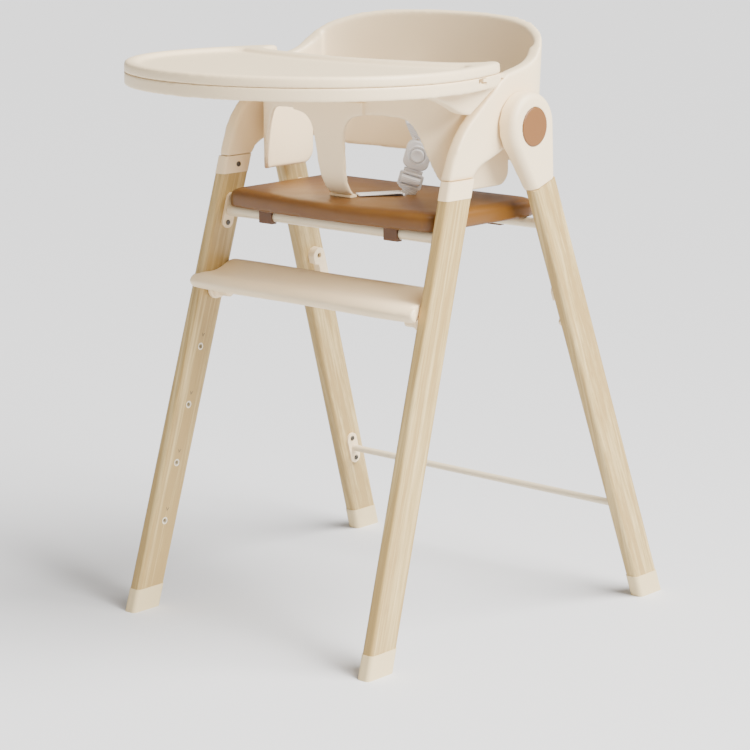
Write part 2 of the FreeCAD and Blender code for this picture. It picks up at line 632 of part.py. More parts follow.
guard = guard.cut(holeTool).cut(holeTool.mirror(Vector(0, 0, 0), Vector(1, 0, 0)))
guard = guard.common(Part.makeBox(400, 300, d.guardTop - d.seatTop,
                                  Vector(-200, -150, d.seatTop + d.footThick)))
corner = Part.makeBox(400, d.wingRound, d.wingRound,
                      Vector(-200, d.wingRear - d.wingRound, d.guardLow)).cut(
    Part.makeCylinder(d.wingRound, 400,
                      Vector(-200, d.wingRear - d.wingRound, d.guardLow + d.wingRound),
                      Vector(1, 0, 0)))
guard = guard.cut(corner)
armInner = d.shellHalf - d.shellNarrow - d.armThick
for side in (-1, 1):
    lug = Part.makeBox(armInner - d.guardHalf + 4, 24, 14,
                       Vector(d.guardHalf - 2 if side > 0 else -armInner - 2, 0, d.guardTop - 40))
    guard = guard.fuse(lug)
guard = guard.cut(shellBlock(0, 0, -130).cut(shellBlock(d.armThick + 0.05, d.armThick + 0.05, -140)))
guard = guard.removeSplitter()
keep(feature("front_guard_solid", guard), "front_guard")
foot = Part.makeBox(2 * d.postHalf + 4, 13, d.footThick,
                    Vector(-d.postHalf - 2, d.postFootY - 2, d.seatTop))
foot = foot.makeFillet(2, [e for e in foot.Edges if abs(e.Vertexes[0].Z - e.Vertexes[-1].Z) > 1])
keep(feature("post_foot_solid", foot), "post_foot")


# ---------------------------------------------------------------- seat

def seatOutline(inset, z):
    """Level outline: bowed front, sides that widen rearwards, rounded corners."""
    front, cornerY = d.seatFront + inset, d.seatCorner + inset
    half0, half1 = d.seatFrontHalf - inset, d.seatRearHalf - inset
    rear = d.seatRear - inset
    bow = Part.Arc(Vector(-half0, cornerY, z), Vector(0, front, z), Vector(half0, cornerY, z)).toShape()
    wire = Part.Wire([
        bow, Part.LineSegment(Vector(half0, cornerY, z), Vector(half1, rear, z)).toShape(),
        Part.LineSegment(Vector(half1, rear, z), Vector(-half1, rear, z)).toShape(),
        Part.LineSegment(Vector(-half1, rear, z), Vector(-half0, cornerY, z)).toShape()])
    return Part.Face(wire)


def roundedSeat(inset, z, height):
    slab = seatOutline(inset, z).extrude(Vector(0, 0, height))
    upright = [e for e in slab.Edges if abs(e.Vertexes[0].Z - e.Vertexes[-1].Z) > 1]
    return slab.makeFillet(max(d.seatRound - inset, 6), upright)


padLow = d.seatTop - d.padThick
pad = roundedSeat(0, padLow, d.padThick)
topEdges = [e for e in pad.Edges if e.BoundBox.ZMin > d.seatTop - 0.01]
pad = pad.makeFillet(d.topRound, topEdges)
pad = pad.cut(roundedSeat(d.baseInset - 0.3, padLow - 1, d.baseThick + 1.3))
for frame in frontScrews:
    room = Part.makeCylinder(d.screwHead + 0.6, 4, Vector(0, 0, 0))
    room.Placement = frame
    pad = pad.cut(room).cut(room.mirror(Vector(0, 0, 0), Vector(1, 0, 0)))
keep(feature("seat_pad_solid", pad), "seat_pad")
base = roundedSeat(d.baseInset, padLow, d.baseThick)
keep(feature("seat_base_solid", base), "seat_base")


def hookClip(x, y, z, radius, openRear):
    """A clip that hangs from the base round a seat bar, open to one side."""
    outer, low = radius + d.clipWall + 0.3, z - radius - d.clipWall
    block = Part.makeBox(d.clipWidth, 2 * outer, padLow - low, Vector(x - d.clipWidth / 2, y - outer, low))
    block = block.makeFillet(2, [e for e in block.Edges if abs(e.BoundBox.ZMax - low) < 0.01
                                 and e.BoundBox.YLength < 0.01])
    bore = Part.makeCylinder(radius + 0.3, d.clipWidth + 2, Vector(x - d.clipWidth / 2 - 1, y, z),
                             Vector(1, 0, 0))
    reach = outer + 1
    mouth = Part.makeBox(d.clipWidth + 2, reach, padLow - low + 2,
                         Vector(x - d.clipWidth / 2 - 1, y if openRear else y - reach, low - 1))
    return block.cut(bore).cut(mouth)


frontClips = Part.makeCompound([hookClip(s * d.clipX, frontBarY, d.frontBarZ, d.frontBarRadius, True)
                                for s in (-1, 1)])
keep(feature("front_clips_group", frontClips), "front_seat_clips")
rearClips = Part.makeCompound([hookClip(s * d.rearClipX, rearBarY, d.rearBarZ, d.rearBarRadius, False)
                               for s in (-1, 1)])
keep(feature("rear_clips_group", rearClips), "rear_seat_clips")


# ---------------------------------------------------------------- tray

def trayFace(z, inset, side, child):
    """Level tray outline: an elliptical front, a side spline on each hand whose points run
    from the widest place to the rear corner, and the hollowed edge towards the child."""
    half, reach, mid = d.trayHalf - inset, d.trayReach - inset, d.trayMidY
    ellipse = Part.Ellipse(Vector(half, mid, z), Vector(0, mid + reach, z), Vector(0, mid, z))
    edges = [Part.ArcOfEllipse(ellipse, math.pi, 2 * math.pi).toShape()]
    for s in (-1, 1):
        curve = Part.BSplineCurve()
        points = [Vector(s * half, mid, z)] + [Vector(s * x, y, z) for x, y in side]
        free = len(points) - 1
        curve.interpolate(Points=points, Tangents=[Vector(0, 1, 0)] + [Vector(0, 0, 1)] * free,
                          TangentFlags=[True] + [False] * free)
        edges.append(curve.toShape())
    rear = Part.BSplineCurve()
    last = side[-1]
    rear.interpolate([Vector(x, y, z) for x, y in [last] + child]
                     + [Vector(-x, y, z) for x, y in child[-2::-1] + [last]])
    edges.append(rear.toShape())
    return Part.Face(Part.Wire(Part.__sortEdges__(edges)))


def hornedTray(z, inset=0.0):
    """The full outline, whose rear corners run back as two horns beside the child."""
    half, tip = d.trayHalf, d.hornTip
    side = [(half - 6 - inset, -70), (half - 20 - inset, -20), (half - 36 - inset, tip - 8 - inset),
            (half - 44, tip - 1.4 * inset), (half - 53 + inset, tip - 9 - inset)]
    return trayFace(z, inset, side, [(half - 62 + inset / 2, -14 - inset), (118, -37 - inset),
                                     (0, -52 - inset)])


def trayDish(z):
    """The sunk food surface, which stops short of the horns."""
    half, rim = d.trayHalf, d.trayRim
    side = [(half - 6 - rim, -80), (half - 16 - rim, -52), (half - 30 - rim, -40)]
    return trayFace(z, rim, side, [(118, -42 - rim), (0, -52 - rim)])


trayLow = d.trayTop - d.trayThick
linerLow = d.trayTop - d.linerThick
liner = hornedTray(linerLow + 0.1).extrude(Vector(0, 0, d.linerThick - 0.1))
liner = liner.cut(trayDish(d.trayTop - d.trayDish).extrude(Vector(0, 0, d.trayDish + 1)))
keep(feature("tray_liner_solid", liner), "tray_liner")

body = hornedTray(trayLow).extrude(Vector(0, 0, linerLow - trayLow))
hollow = hornedTray(trayLow - 1, d.trayWall).extrude(Vector(0, 0, linerLow - trayLow - 2))
skirtLow = [Vector(0, -146, trayLow + 0.5), Vector(0, -115, 697), Vector(0, -85, 686),
            Vector(0, -63, 676), Vector(0, -47, 673)]
skirtRear, skirtCorner = Vector(0, 13, 711), Vector(0, 13, linerLow - 3)
skirtFront = Vector(0, -146, linerLow - 3)
skirtWire = outline([skirtLow, [skirtLow[-1], skirtRear], [skirtRear, skirtCorner],
                     [skirtCorner, skirtFront], [skirtFront, skirtLow[0]]])
skirt = sideSlab(skirtWire, d.skirtInner, d.skirtOuter)
latchTunnel = Part.makeBox(d.latchWidth + 1, 90, d.latchHeight + 1,
                           Vector(latchMid - d.latchWidth / 2 - 0.5, -64, d.latchZ - 0.5))
thumbSlot = Part.makeBox(d.trayHalf - latchMid + 1, 24, d.latchHeight, Vector(latchMid, -58, d.latchZ))
trayBody = body.cut(hollow)
for mirroring in (False, True):
    for solid, joins in ((skirt, True), (latchTunnel, False), (thumbSlot, False)):
        other = solid.mirror(Vector(0, 0, 0), Vector(1, 0, 0)) if mirroring else solid
        trayBody = trayBody.fuse(other) if joins else trayBody.cut(other)
# the horns rest on the arms, whose sloping tops the tray slides forward from
armRest = [Vector(0, -35, 630), Vector(0, -35, 668.5), Vector(0, 25, 717.6), Vector(0, 70, 717.6),
           Vector(0, 70, 630)]
armTops = sideSlab(Part.makePolygon(armRest + armRest[:1]), d.skirtInner - 5, d.shellHalf + 5)
for cutter in (armTops, armTops.mirror(Vector(0, 0, 0), Vector(1, 0, 0))):
    trayBody = trayBody.cut(cutter)
trayBody = trayBody.removeSplitter()
keep(feature("tray_base_solid", trayBody), "tray_base")

latch = Part.makeBox(d.latchWidth, 70, d.latchHeight, Vector(latchMid - d.latchWidth / 2, -46, d.latchZ))
thumbReach = d.trayHalf - 12 - latchMid
thumb = Part.makeBox(thumbReach, 12, d.latchHeight - 1, Vector(latchMid, -46, d.latchZ + 0.5))
pair(feature("tray_latch_solid", latch.fuse(thumb).removeSplitter()), "tray_latch")
pair(feature("latch_spring_wire", coil(Vector(latchMid, -63.9, d.latchZ + d.latchHeight / 2),
                                       Vector(0, 1, 0), 17.8, 2, 0.8, 5)), "latch_spring")


# ---------------------------------------------------------------- footrest

restHalf = legInner("front", d.restRearZ) - 0.4
crownZ = (d.restFrontZ + d.restRearZ) / 2 - 3


def restSection(x, shrink):
    """Side view of the footrest board: a hollowed top and a rounded front."""
    f, r = d.restFront + shrink, d.restRear - shrink / 2
    mid = (f + r) / 2
    t = d.restThick
    frontTip, rearTip = Vector(x, f, d.restFrontZ - t / 2), Vector(x, r, d.restRearZ - t / 2)
    top = Part.BSplineCurve()
    top.interpolate([frontTip, Vector(x, f + 5, d.restFrontZ - 1), Vector(x, mid, crownZ),
                     Vector(x, r - 5, d.restRearZ - 1), rearTip])
    low = Part.BSplineCurve()
    low.interpolate([rearTip, Vector(x, r - 6, d.restRearZ - t), Vector(x, mid, crownZ - t),
                     Vector(x, f + 5, d.restFrontZ - t - 1), frontTip])
    return Part.Wire([top.toShape(), low.toShape()])


board = Part.makeLoft([restSection(-d.restTip, 4), restSection(-150, 0), restSection(0, 2),
                       restSection(150, 0), restSection(d.restTip, 4)], True, False)
# the front lip runs on in front of the legs, the rest of the board fits between them
legFront = legMid("front", d.restFrontZ - 20) - legDepth("front") / 2
for s in (-1, 1):
    beside = Part.makeBox(60, 160, 120, Vector(restHalf if s > 0 else -restHalf - 60,
                                               legFront - 4, d.restFrontZ - 60))
    beside = beside.makeFillet(3, [e for e in beside.Edges if e.BoundBox.ZLength > 100])
    board = board.cut(beside)
for s in (-1, 1):
    near = restHalf if s > 0 else -restHalf + d.earThick
    ear = Part.makeCylinder(d.earRadius, d.earThick, Vector(near, restY, restZ), Vector(-1, 0, 0))
    web = Part.makeBox(d.earThick, 2 * d.earRadius, 22,
                       Vector(near - d.earThick, restY - d.earRadius, restZ))
    board = board.fuse(ear).fuse(web)
for s in (-1, 1):
    start = restHalf + 1 if s > 0 else -restHalf + d.earThick + 1
    board = board.cut(Part.makeCylinder(d.boltRadius + 0.1, d.earThick + 2, Vector(start, restY, restZ),
                                        Vector(-1, 0, 0)))
keep(feature("footrest_solid", board.removeSplitter()), "footrest")

knobX = restHalf - d.earThick - 0.1
knobProfile = Part.makePolygon([Vector(knobX - back, 0, radius) for back, radius in (
    (0, 0), (0, d.knobRadius + 1), (4, d.knobRadius + 1), (5, d.knobRadius - 2),
    (d.knobLength - 3, d.knobRadius - 2), (d.knobLength, d.knobRadius - 5), (d.knobLength, 0), (0, 0))])
knob = Part.Face(knobProfile).revolve(Vector(0, 0, 0), Vector(1, 0, 0), 360)
knob.translate(Vector(0, restY, restZ))
bolt = Part.makeCylinder(d.boltRadius, d.insertLength + 2 + d.earThick - 3,
                         Vector(knobX - 1, restY, restZ), Vector(1, 0, 0))
pair(feature("footrest_knob_solid", knob.fuse(bolt)), "footrest_knob")

inserts = []
for z in holeHeights:
    x, y = legInner("front", z), legMid("front", z)
    ring = Part.makeCylinder(d.insertRadius, d.insertLength, Vector(x + 0.3, y, z), Vector(1, 0, 0))
    inserts.append(ring.cut(Part.makeCylinder(d.boltRadius + 0.1, d.insertLength - 1, Vector(x - 1, y, z),
                                              Vector(1, 0, 0))))
pair(feature("leg_inserts_group", Part.makeCompound(inserts)), "leg_inserts")


# ---------------------------------------------------------------- harness

def ribbon(points, across):
    """A flat strap through points, each with the direction of its width."""
    sections = []
    for i, (centre, side) in enumerate(zip(points, across)):
        ahead = points[min(i + 1, len(points) - 1)] - points[max(i - 1, 0)]
        normal = ahead.cross(Vector(*side)).normalize()
        w = normal.cross(ahead).normalize() * (d.webWidth / 2)
        t = normal * (d.webThick / 2)
        corners = [centre - w - t, centre + w - t, centre + w + t, centre - w + t]
        sections.append(Part.makePolygon(corners + corners[:1]))
    return Part.makeLoft(sections, True, True)


buckleAt = Vector(d.buckleX, 14, 607)
strapUp = Vector(10, 2, 32).normalize()
faceOut = Vector(0.55, -0.82, -0.12)
faceOut = (faceOut - strapUp * faceOut.dot(strapUp)).normalize()
strapSide = strapUp.cross(faceOut)


def onStrap(origin):
    """A frame whose local Y runs up the strap and whose local Z faces out of it."""
    return framed(strapSide, strapUp, faceOut, origin)


def onCushion(x, y, lift):
    return Vector(x, y, d.seatTop + d.softGap + d.webThick / 2 + lift)


upright = buckleAt - strapUp * 47
crotchPoints = [onCushion(11, -38.5, 0.2), onCushion(22, -24.5, 0.6), onCushion(34, -9.3, 0.8),
                onCushion(46, 3, 1.6), upright + Vector(-3, -3, -5), upright + strapUp * 4,
                buckleAt - strapUp * (d.buckleHigh / 2 + 0.5)]
crotchSides = [(0.79, -0.62, 0)] * 4 + [strapSide] * 3
keep(feature("crotch_strap_solid", ribbon(crotchPoints, crotchSides)), "crotch_strap")

frameHalf = d.webWidth / 2 + 3.5
adjuster = Part.makeBox(2 * frameHalf, 20, 3, Vector(-frameHalf, -10, 0))
adjuster = adjuster.makeFillet(2.5, [e for e in adjuster.Edges if e.BoundBox.ZLength > 2])
for low in (-7, 2):
    adjuster = adjuster.cut(Part.makeBox(d.webWidth, 5, 5, Vector(-d.webWidth / 2, low, -1)))
adjuster.Placement = onStrap(buckleAt - strapUp * 34 + faceOut * (d.webThick / 2 + d.softGap))
keep(feature("strap_adjuster_solid", adjuster), "strap_adjuster")

face = d.buckleThick / 2
buckle = Part.makeBox(d.buckleWide, d.buckleHigh, d.buckleThick,
                      Vector(-d.buckleWide / 2, -d.buckleHigh / 2, -face))
buckle = buckle.makeFillet(9, [e for e in buckle.Edges if e.BoundBox.ZLength > 2])
buckle = buckle.makeFillet(2, [e for e in buckle.Edges if e.BoundBox.ZLength < 0.1])
buckle = buckle.cut(Part.makeCylinder(d.pressRadius + 0.3, 7, Vector(0, 0, face - 5)))
press = Part.makeCylinder(d.pressRadius, 3.2, Vector(0, 0, face - 2))
press = press.makeFillet(1, [e for e in press.Edges if e.BoundBox.ZMin > face + 1])
for shape, label in ((buckle, "buckle_body"), (press, "buckle_button")):
    shape.Placement = onStrap(buckleAt)
    keep(feature(label + "_solid", shape), label)


def backFace(x, z, inner):
    """Y of the backrest's inner or outer face."""
    share = (z - SHELL_LOW) / (SHELL_HIGH - SHELL_LOW)
    inset = (d.wallLow + share * (d.wallHigh - d.wallLow)) * inner
    depth = d.shellDepthLow + share * (d.shellDepthTop - d.shellDepthLow) - inset
    half = d.shellHalf - d.shellNarrow * (1 - share) - inset
    return d.shellMidY + depth * math.sqrt(1 - (x / half) ** 2)


# both shoulder straps leave the buckle one on the other, part towards their own slots in the
# backrest and end behind it in a sewn stop; the left one lies in front and turns back higher
buckleTop = buckleAt + strapUp * (d.buckleHigh / 2 + 0.7)
mid = buckleTop + strapUp * 12 - strapSide * 7
gather = buckleTop + strapUp * 26 - strapSide * 17
slotMid = d.slotZ + 2
layer = faceOut * (d.webThick / 2 + d.softGap)
routes = (
    (1, "left", [gather + layer * 3, gather + strapUp * 13 - strapSide * 3 + layer * 3,
                 Vector(65, 80, 683)], [strapSide, strapSide, (1, 0.04, 0)]),
    (-1, "right", [gather - layer, Vector(0, 80, 664)], [strapSide, (0.8, 0.6, 0)]),
)
for side, label, middle, middleSides in routes:
    x = side * d.slotX
    wallIn = backFace(d.slotX, slotMid, 1)
    wallOut = backFace(d.slotX - d.webWidth / 2, slotMid, 0) + 0.8
    points = [buckleTop + layer * side, buckleTop + strapUp * 4 + layer * side, mid + layer * side]
    points += middle + [Vector(x, wallIn - 30, slotMid - 3), Vector(x, wallIn - 4, slotMid),
                        Vector(x, wallOut + 2, slotMid)]
    sides = [strapSide] * 3 + middleSides + [(1, -side * 0.1, 0), (1, 0, 0), (1, 0, 0)]
    stop = Part.makeBox(d.webWidth, 4, 8, Vector(x - d.webWidth / 2, wallOut, slotMid - 4))
    keep(feature("shoulder_strap_%s_solid" % label, ribbon(points, sides).fuse(stop)),
         "shoulder_strap_" + label)


# ---------------------------------------------------------------- check and write

doc.recompute()
faults = ["%s %s" % (o.Name, o.State) for o in doc.Objects
          if "Invalid" in o.State or "Error" in o.State]
for obj in finished:
    shape = obj.Shape
    if shape.isNull() or not shape.isValid() or not shape.Solids:
        faults.append("%s has no valid solid" % obj.Label)
if faults:
    raise SystemExit("\n".join(faults))
for obj in finished:
    obj.Shape.exportStep("parts/%s.step" % obj.Label)
print("%d sub-parts" % len(finished))
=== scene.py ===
import json
import math

import bmesh
import bpy
import numpy as np
from mathutils import Matrix, Vector


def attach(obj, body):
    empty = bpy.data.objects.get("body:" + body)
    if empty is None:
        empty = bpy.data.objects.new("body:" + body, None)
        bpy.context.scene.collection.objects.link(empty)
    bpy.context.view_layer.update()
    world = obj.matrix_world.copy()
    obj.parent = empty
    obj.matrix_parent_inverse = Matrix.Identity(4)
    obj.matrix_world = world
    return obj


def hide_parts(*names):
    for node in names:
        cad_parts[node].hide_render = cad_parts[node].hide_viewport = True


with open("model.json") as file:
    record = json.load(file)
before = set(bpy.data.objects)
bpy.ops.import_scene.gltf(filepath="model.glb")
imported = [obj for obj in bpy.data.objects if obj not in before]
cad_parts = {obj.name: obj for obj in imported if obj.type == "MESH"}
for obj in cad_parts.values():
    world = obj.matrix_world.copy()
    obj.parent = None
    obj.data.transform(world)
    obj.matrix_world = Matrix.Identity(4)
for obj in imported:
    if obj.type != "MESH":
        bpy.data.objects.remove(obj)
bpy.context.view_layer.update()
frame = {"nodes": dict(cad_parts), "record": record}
nodes = frame["nodes"]
scene = bpy.context.scene

origin = 0.01853  # metres that the frame's middle lies behind the drawing's
colour = {
    "cream": "F1DAB2", "foot": "DAC597", "wood": "D2B982", "woodMid": "AD9058", "woodDark": "7E6234",
    "cushion": "704915", "cushionDeep": "613C10", "tan": "5C3712", "disc": "764B20",
    "metal": "E6D6B6", "steel": "5C5852", "brass": "E4DAC2", "grey": "E4E4E6", "mark": "7A6749",
    "web": "F4F4F5", "webDark": "DADADF", "floor": "D6D6D7", "sky": "F2F1F0",
}


# a named sRGB colour as linear RGBA
def linear(name):
    code = colour[name]
    channels = [int(code[i:i + 2], 16) / 255 for i in (0, 2, 4)]
    return tuple(c / 12.92 if c <= 0.04045 else ((c + 0.055) / 1.055) ** 2.4 for c in channels) + (1,)


def material(name, base, roughness, **extra):
    mat = bpy.data.materials.new(name)
    mat.use_nodes = True
    shader = mat.node_tree.nodes["Principled BSDF"]
    shader.inputs["Base Color"].default_value = linear(base)
    shader.inputs["Roughness"].default_value = roughness
    for socket, value in extra.items():
        shader.inputs[socket.replace("_", " ")].default_value = value
    return mat


def node(mat, kind, **settings):
    made = mat.node_tree.nodes.new(kind)
    for key, value in settings.items():
        if key in made.inputs:
            made.inputs[key].default_value = value
        else:
            setattr(made, key, value)
    return made


def wire(mat, source, output, target, socket):
    mat.node_tree.links.new(source.outputs[output], target.inputs[socket])


# object coordinates turned about X and scaled to cycles per metre
def coordinates(mat, perMetre, tilt=0.0):
    where = node(mat, "ShaderNodeTexCoord")
    turned = node(mat, "ShaderNodeMapping")
    turned.inputs["Rotation"].default_value = (math.radians(tilt), 0, 0)
    scaled = node(mat, "ShaderNodeMapping")
    scaled.inputs["Scale"].default_value = perMetre
    wire(mat, where, "Object", turned, "Vector")
    wire(mat, turned, "Vector", scaled, "Vector")
    return scaled


# cycles per metre and heights in metres of the grain of each finish
grain = {"plastic": 900, "plasticRelief": 0.00003, "plasticSwing": 0.05, "plasticDrift": 45,
         "skin": 620, "skinRelief": 0.00012, "skinCloud": 14, "skinSwing": 0.06, "skinDrift": 30,
         "woodBands": (70, 95, 2.2), "woodGrowth": (260, 330, 3.5), "woodPores": (1100, 1300, 26),
         "growthShare": 0.6, "poreShare": 0.28, "streakShare": 0.35, "paleBelow": 0.68,
         "poreFrom": 0.55, "poreTo": 0.72, "woodRelief": 0.00008,
         "ribs": 150.0, "twill": 190.0, "tapeRelief": 0.00025}


# a fine surface relief; distance is its height in metres
def grainBump(mat, perMetre, distance, tilt=0.0):
    shader = mat.node_tree.nodes["Principled BSDF"]
    place = coordinates(mat, perMetre, tilt)
    noise = node(mat, "ShaderNodeTexNoise", Scale=1.0, Detail=3.0)
    bump = node(mat, "ShaderNodeBump", Strength=0.5, Distance=distance)
    wire(mat, place, "Vector", noise, "Vector")
    wire(mat, noise, "Fac", bump, "Height")
    wire(mat, bump, "Normal", shader, "Normal")


# moulded plastic: a fine spark-eroded texture and a roughness that varies a little
def plastic(name, base, roughness):
    mat = material(name, base, roughness, Specular_IOR_Level=0.5)
    grainBump(mat, (grain["plastic"],) * 3, grain["plasticRelief"])
    varied(mat, roughness, grain["plasticSwing"], grain["plasticDrift"])
    return mat


# roughness that drifts about its middle value
def varied(mat, middle, swing, perMetre):
    shader = mat.node_tree.nodes["Principled BSDF"]
    place = coordinates(mat, (perMetre,) * 3)
    noise = node(mat, "ShaderNodeTexNoise", Scale=1.0, Detail=2.0)
    spread = node(mat, "ShaderNodeMapRange")
    spread.inputs["To Min"].default_value = middle - swing
    spread.inputs["To Max"].default_value = middle + swing
    wire(mat, place, "Vector", noise, "Vector")
    wire(mat, noise, "Fac", spread, "Value")
    wire(mat, spread, "Result", shader, "Roughness")


# skinned foam: a pebbled leather-like grain in the relief, and a darker tone that drifts in broad
# clouds
def softSkin(name, base, darker, roughness):
    mat = material(name, base, roughness)
    shader = mat.node_tree.nodes["Principled BSDF"]
    place = coordinates(mat, (grain["skin"],) * 3)
    cells = node(mat, "ShaderNodeTexVoronoi", Scale=1.0)
    shade = node(mat, "ShaderNodeMix", data_type="RGBA")
    shade.inputs["A"].default_value = linear(darker)
    shade.inputs["B"].default_value = linear(base)
    bump = node(mat, "ShaderNodeBump", Strength=0.35, Distance=grain["skinRelief"])
    bump.invert = True
    wire(mat, place, "Vector", cells, "Vector")
    wire(mat, cells, "Distance", bump, "Height")
    wire(mat, bump, "Normal", shader, "Normal")
    cloud = node(mat, "ShaderNodeTexNoise", Scale=1.0, Detail=2.0)
    wide = coordinates(mat, (grain["skinCloud"],) * 3)
    wire(mat, wide, "Vector", cloud, "Vector")
    wire(mat, cloud, "Fac", shade, "Factor")
    wire(mat, shade, "Result", shader, "Base Color")
    varied(mat, roughness, grain["skinSwing"], grain["skinDrift"])
    return mat


# pale ash: growth bands that wander along the leg, fine pores, and darker streaks
def wood(name, tilt):
    mat = material(name, "wood", 0.46)
    shader = mat.node_tree.nodes["Principled BSDF"]
    broad = coordinates(mat, grain["woodBands"], tilt)
    bands = node(mat, "ShaderNodeTexNoise", Scale=1.0, Detail=3.0, Distortion=0.6)
    lines = coordinates(mat, grain["woodGrowth"], tilt)
    growth = node(mat, "ShaderNodeTexNoise", Scale=1.0, Detail=2.0, Distortion=0.2)
    fine = coordinates(mat, grain["woodPores"], tilt)
    pores = node(mat, "ShaderNodeTexNoise", Scale=1.0, Detail=3.0)
    tones = node(mat, "ShaderNodeMath", operation="MULTIPLY_ADD")
    tones.inputs[1].default_value = grain["growthShare"]
    speck = node(mat, "ShaderNodeMath", operation="MULTIPLY_ADD")
    speck.inputs[1].default_value = grain["poreShare"]
    ramp = node(mat, "ShaderNodeValToRGB")
    ramp.color_ramp.elements[0].position = grain["paleBelow"]
    ramp.color_ramp.elements[0].color = linear("wood")
    ramp.color_ramp.elements[1].position = 1.0
    ramp.color_ramp.elements[1].color = linear("woodMid")
    deep = node(mat, "ShaderNodeMapRange")
    deep.inputs["From Min"].default_value = grain["poreFrom"]
    deep.inputs["From Max"].default_value = grain["poreTo"]
    streak = node(mat, "ShaderNodeMix", data_type="RGBA")
    streak.inputs["B"].default_value = linear("woodDark")
    faint = node(mat, "ShaderNodeMath", operation="MULTIPLY")
    faint.inputs[1].default_value = grain["streakShare"]
    wire(mat, broad, "Vector", bands, "Vector")
    wire(mat, lines, "Vector", growth, "Vector")
    wire(mat, fine, "Vector", pores, "Vector")
    wire(mat, growth, "Fac", tones, 0)
    wire(mat, bands, "Fac", tones, 2)
    wire(mat, pores, "Fac", speck, 0)
    wire(mat, tones, "Value", speck, 2)
    wire(mat, speck, "Value", ramp, "Fac")
    wire(mat, pores, "Fac", deep, "Value")
    wire(mat, deep, "Result", faint, 0)
    wire(mat, faint, "Value", streak, "Factor")
    wire(mat, ramp, "Color", streak, "A")
    wire(mat, streak, "Result", shader, "Base Color")
    bump = node(mat, "ShaderNodeBump", Strength=0.4, Distance=grain["woodRelief"])
    wire(mat, pores, "Fac", bump, "Height")
    wire(mat, bump, "Normal", shader, "Normal")
    return mat


# woven polyester tape: ribs across it, a fine twill along it and a firm edge
def webbing(name):
    mat = material(name, "web", 0.7)
    shader = mat.node_tree.nodes["Principled BSDF"]
    shader.inputs["Sheen Weight"].default_value = 0.3
    place = node(mat, "ShaderNodeUVMap", uv_map="tape")
    ribs = node(mat, "ShaderNodeTexWave", Scale=grain["ribs"], Distortion=0.3, Detail=1.0)
    ribs.bands_direction = "X"
    twill = node(mat, "ShaderNodeTexWave", Scale=grain["twill"], Distortion=0.2)
    twill.bands_direction = "DIAGONAL"
    both = node(mat, "ShaderNodeMath", operation="ADD")
    bump = node(mat, "ShaderNodeBump", Strength=0.7, Distance=grain["tapeRelief"])
    shade = node(mat, "ShaderNodeMix", data_type="RGBA")
    shade.inputs["A"].default_value = linear("web")
    shade.inputs["B"].default_value = linear("webDark")
    for texture, socket in ((ribs, 0), (twill, 1)):
        wire(mat, place, "UV", texture, "Vector")
        wire(mat, texture, "Fac", both, socket)
    wire(mat, both, "Value", bump, "Height")
    wire(mat, ribs, "Fac", shade, "Factor")
    wire(mat, shade, "Result", shader, "Base Color")
    wire(mat, bump, "Normal", shader, "Normal")
    return mat


frontSlope, rearSlope = 16.13, 19
finishes = {
    "cream_plastic": plastic("cream moulded polypropylene", "cream", 0.42),
    "front_wood": wood("ash, front legs", frontSlope),
    "rear_wood": wood("ash, rear legs", -rearSlope),
    "foot_plastic": plastic("pale foot plastic", "foot", 0.5),
    "tan_cushion": softSkin("tan soft polyurethane", "cushion", "cushionDeep", 0.36),
    "tan_plastic": plastic("tan moulded plastic", "tan", 0.45),
    "tan_disc": plastic("tan plastic button", "disc", 0.42),
    "cream_metal": material("cream powder-coated steel", "metal", 0.35, Coat_Weight=0.2),
    "steel": material("zinc-plated steel", "steel", 0.35, Metallic=1.0),
    "brass": material("nickel-plated brass insert", "brass", 0.4, Metallic=0.4),
    "grey_plastic": plastic("light grey acetal", "grey", 0.35),
    "webbing": webbing("grey webbing"),
    "print": plastic("brown printed ink", "mark", 0.6),
}


# put a finished bmesh in the scene as an object at the origin
def linked(bm, name):
    mesh = bpy.data.meshes.new(name)
    bm.to_mesh(mesh)
    bm.free()
    obj = bpy.data.objects.new(name, mesh)
    scene.collection.objects.link(obj)
    return obj


def dress(obj, finish, smooth=True):
    obj.data.materials.clear()
    obj.data.materials.append(finishes[finish])
    if smooth:
        obj.data.polygons.foreach_set("use_smooth", [True] * len(obj.data.polygons))


for entry in frame["record"]["subparts"]:
    name, slotName = entry["node"], entry["material_slot"]
    if "_foot_" in name:
        slotName = "foot_plastic"
    if slotName == "pale_wood":
        slotName = "front_wood" if name.startswith("front") else "rear_wood"
    dress(nodes[name], slotName, smooth=False)
print("stage: materials")


def welded(meshes):
    joined = bmesh.new()
    for mesh in meshes:
        joined.from_mesh(mesh)
    bmesh.ops.remove_doubles(joined, verts=joined.verts, dist=1e-6)
    return joined


# round the edges of a closed mesh by averaging; hold gives each vertex its share
def relax(mesh, rounds, hold=None, factor=0.5):
    count = len(mesh.vertices)
    place = np.empty(count * 3)
    mesh.vertices.foreach_get("co", place)
    place = place.reshape(-1, 3)
    ends = np.empty(len(mesh.edges) * 2, np.int64)
    mesh.edges.foreach_get("vertices", ends)
    ends = ends.reshape(-1, 2)
    degree = np.bincount(ends.ravel(), minlength=count)[:, None]
    share = np.ones(count) if hold is None else hold(place)
    for _ in range(rounds):
        total = np.zeros_like(place)
        for axis in range(3):
            total[:, axis] = (np.bincount(ends[:, 0], place[ends[:, 1], axis], count)
                              + np.bincount(ends[:, 1], place[ends[:, 0], axis], count))
        place += (total / degree - place) * (factor * share[:, None])
    mesh.vertices.foreach_set("co", place.ravel())
    mesh.update()


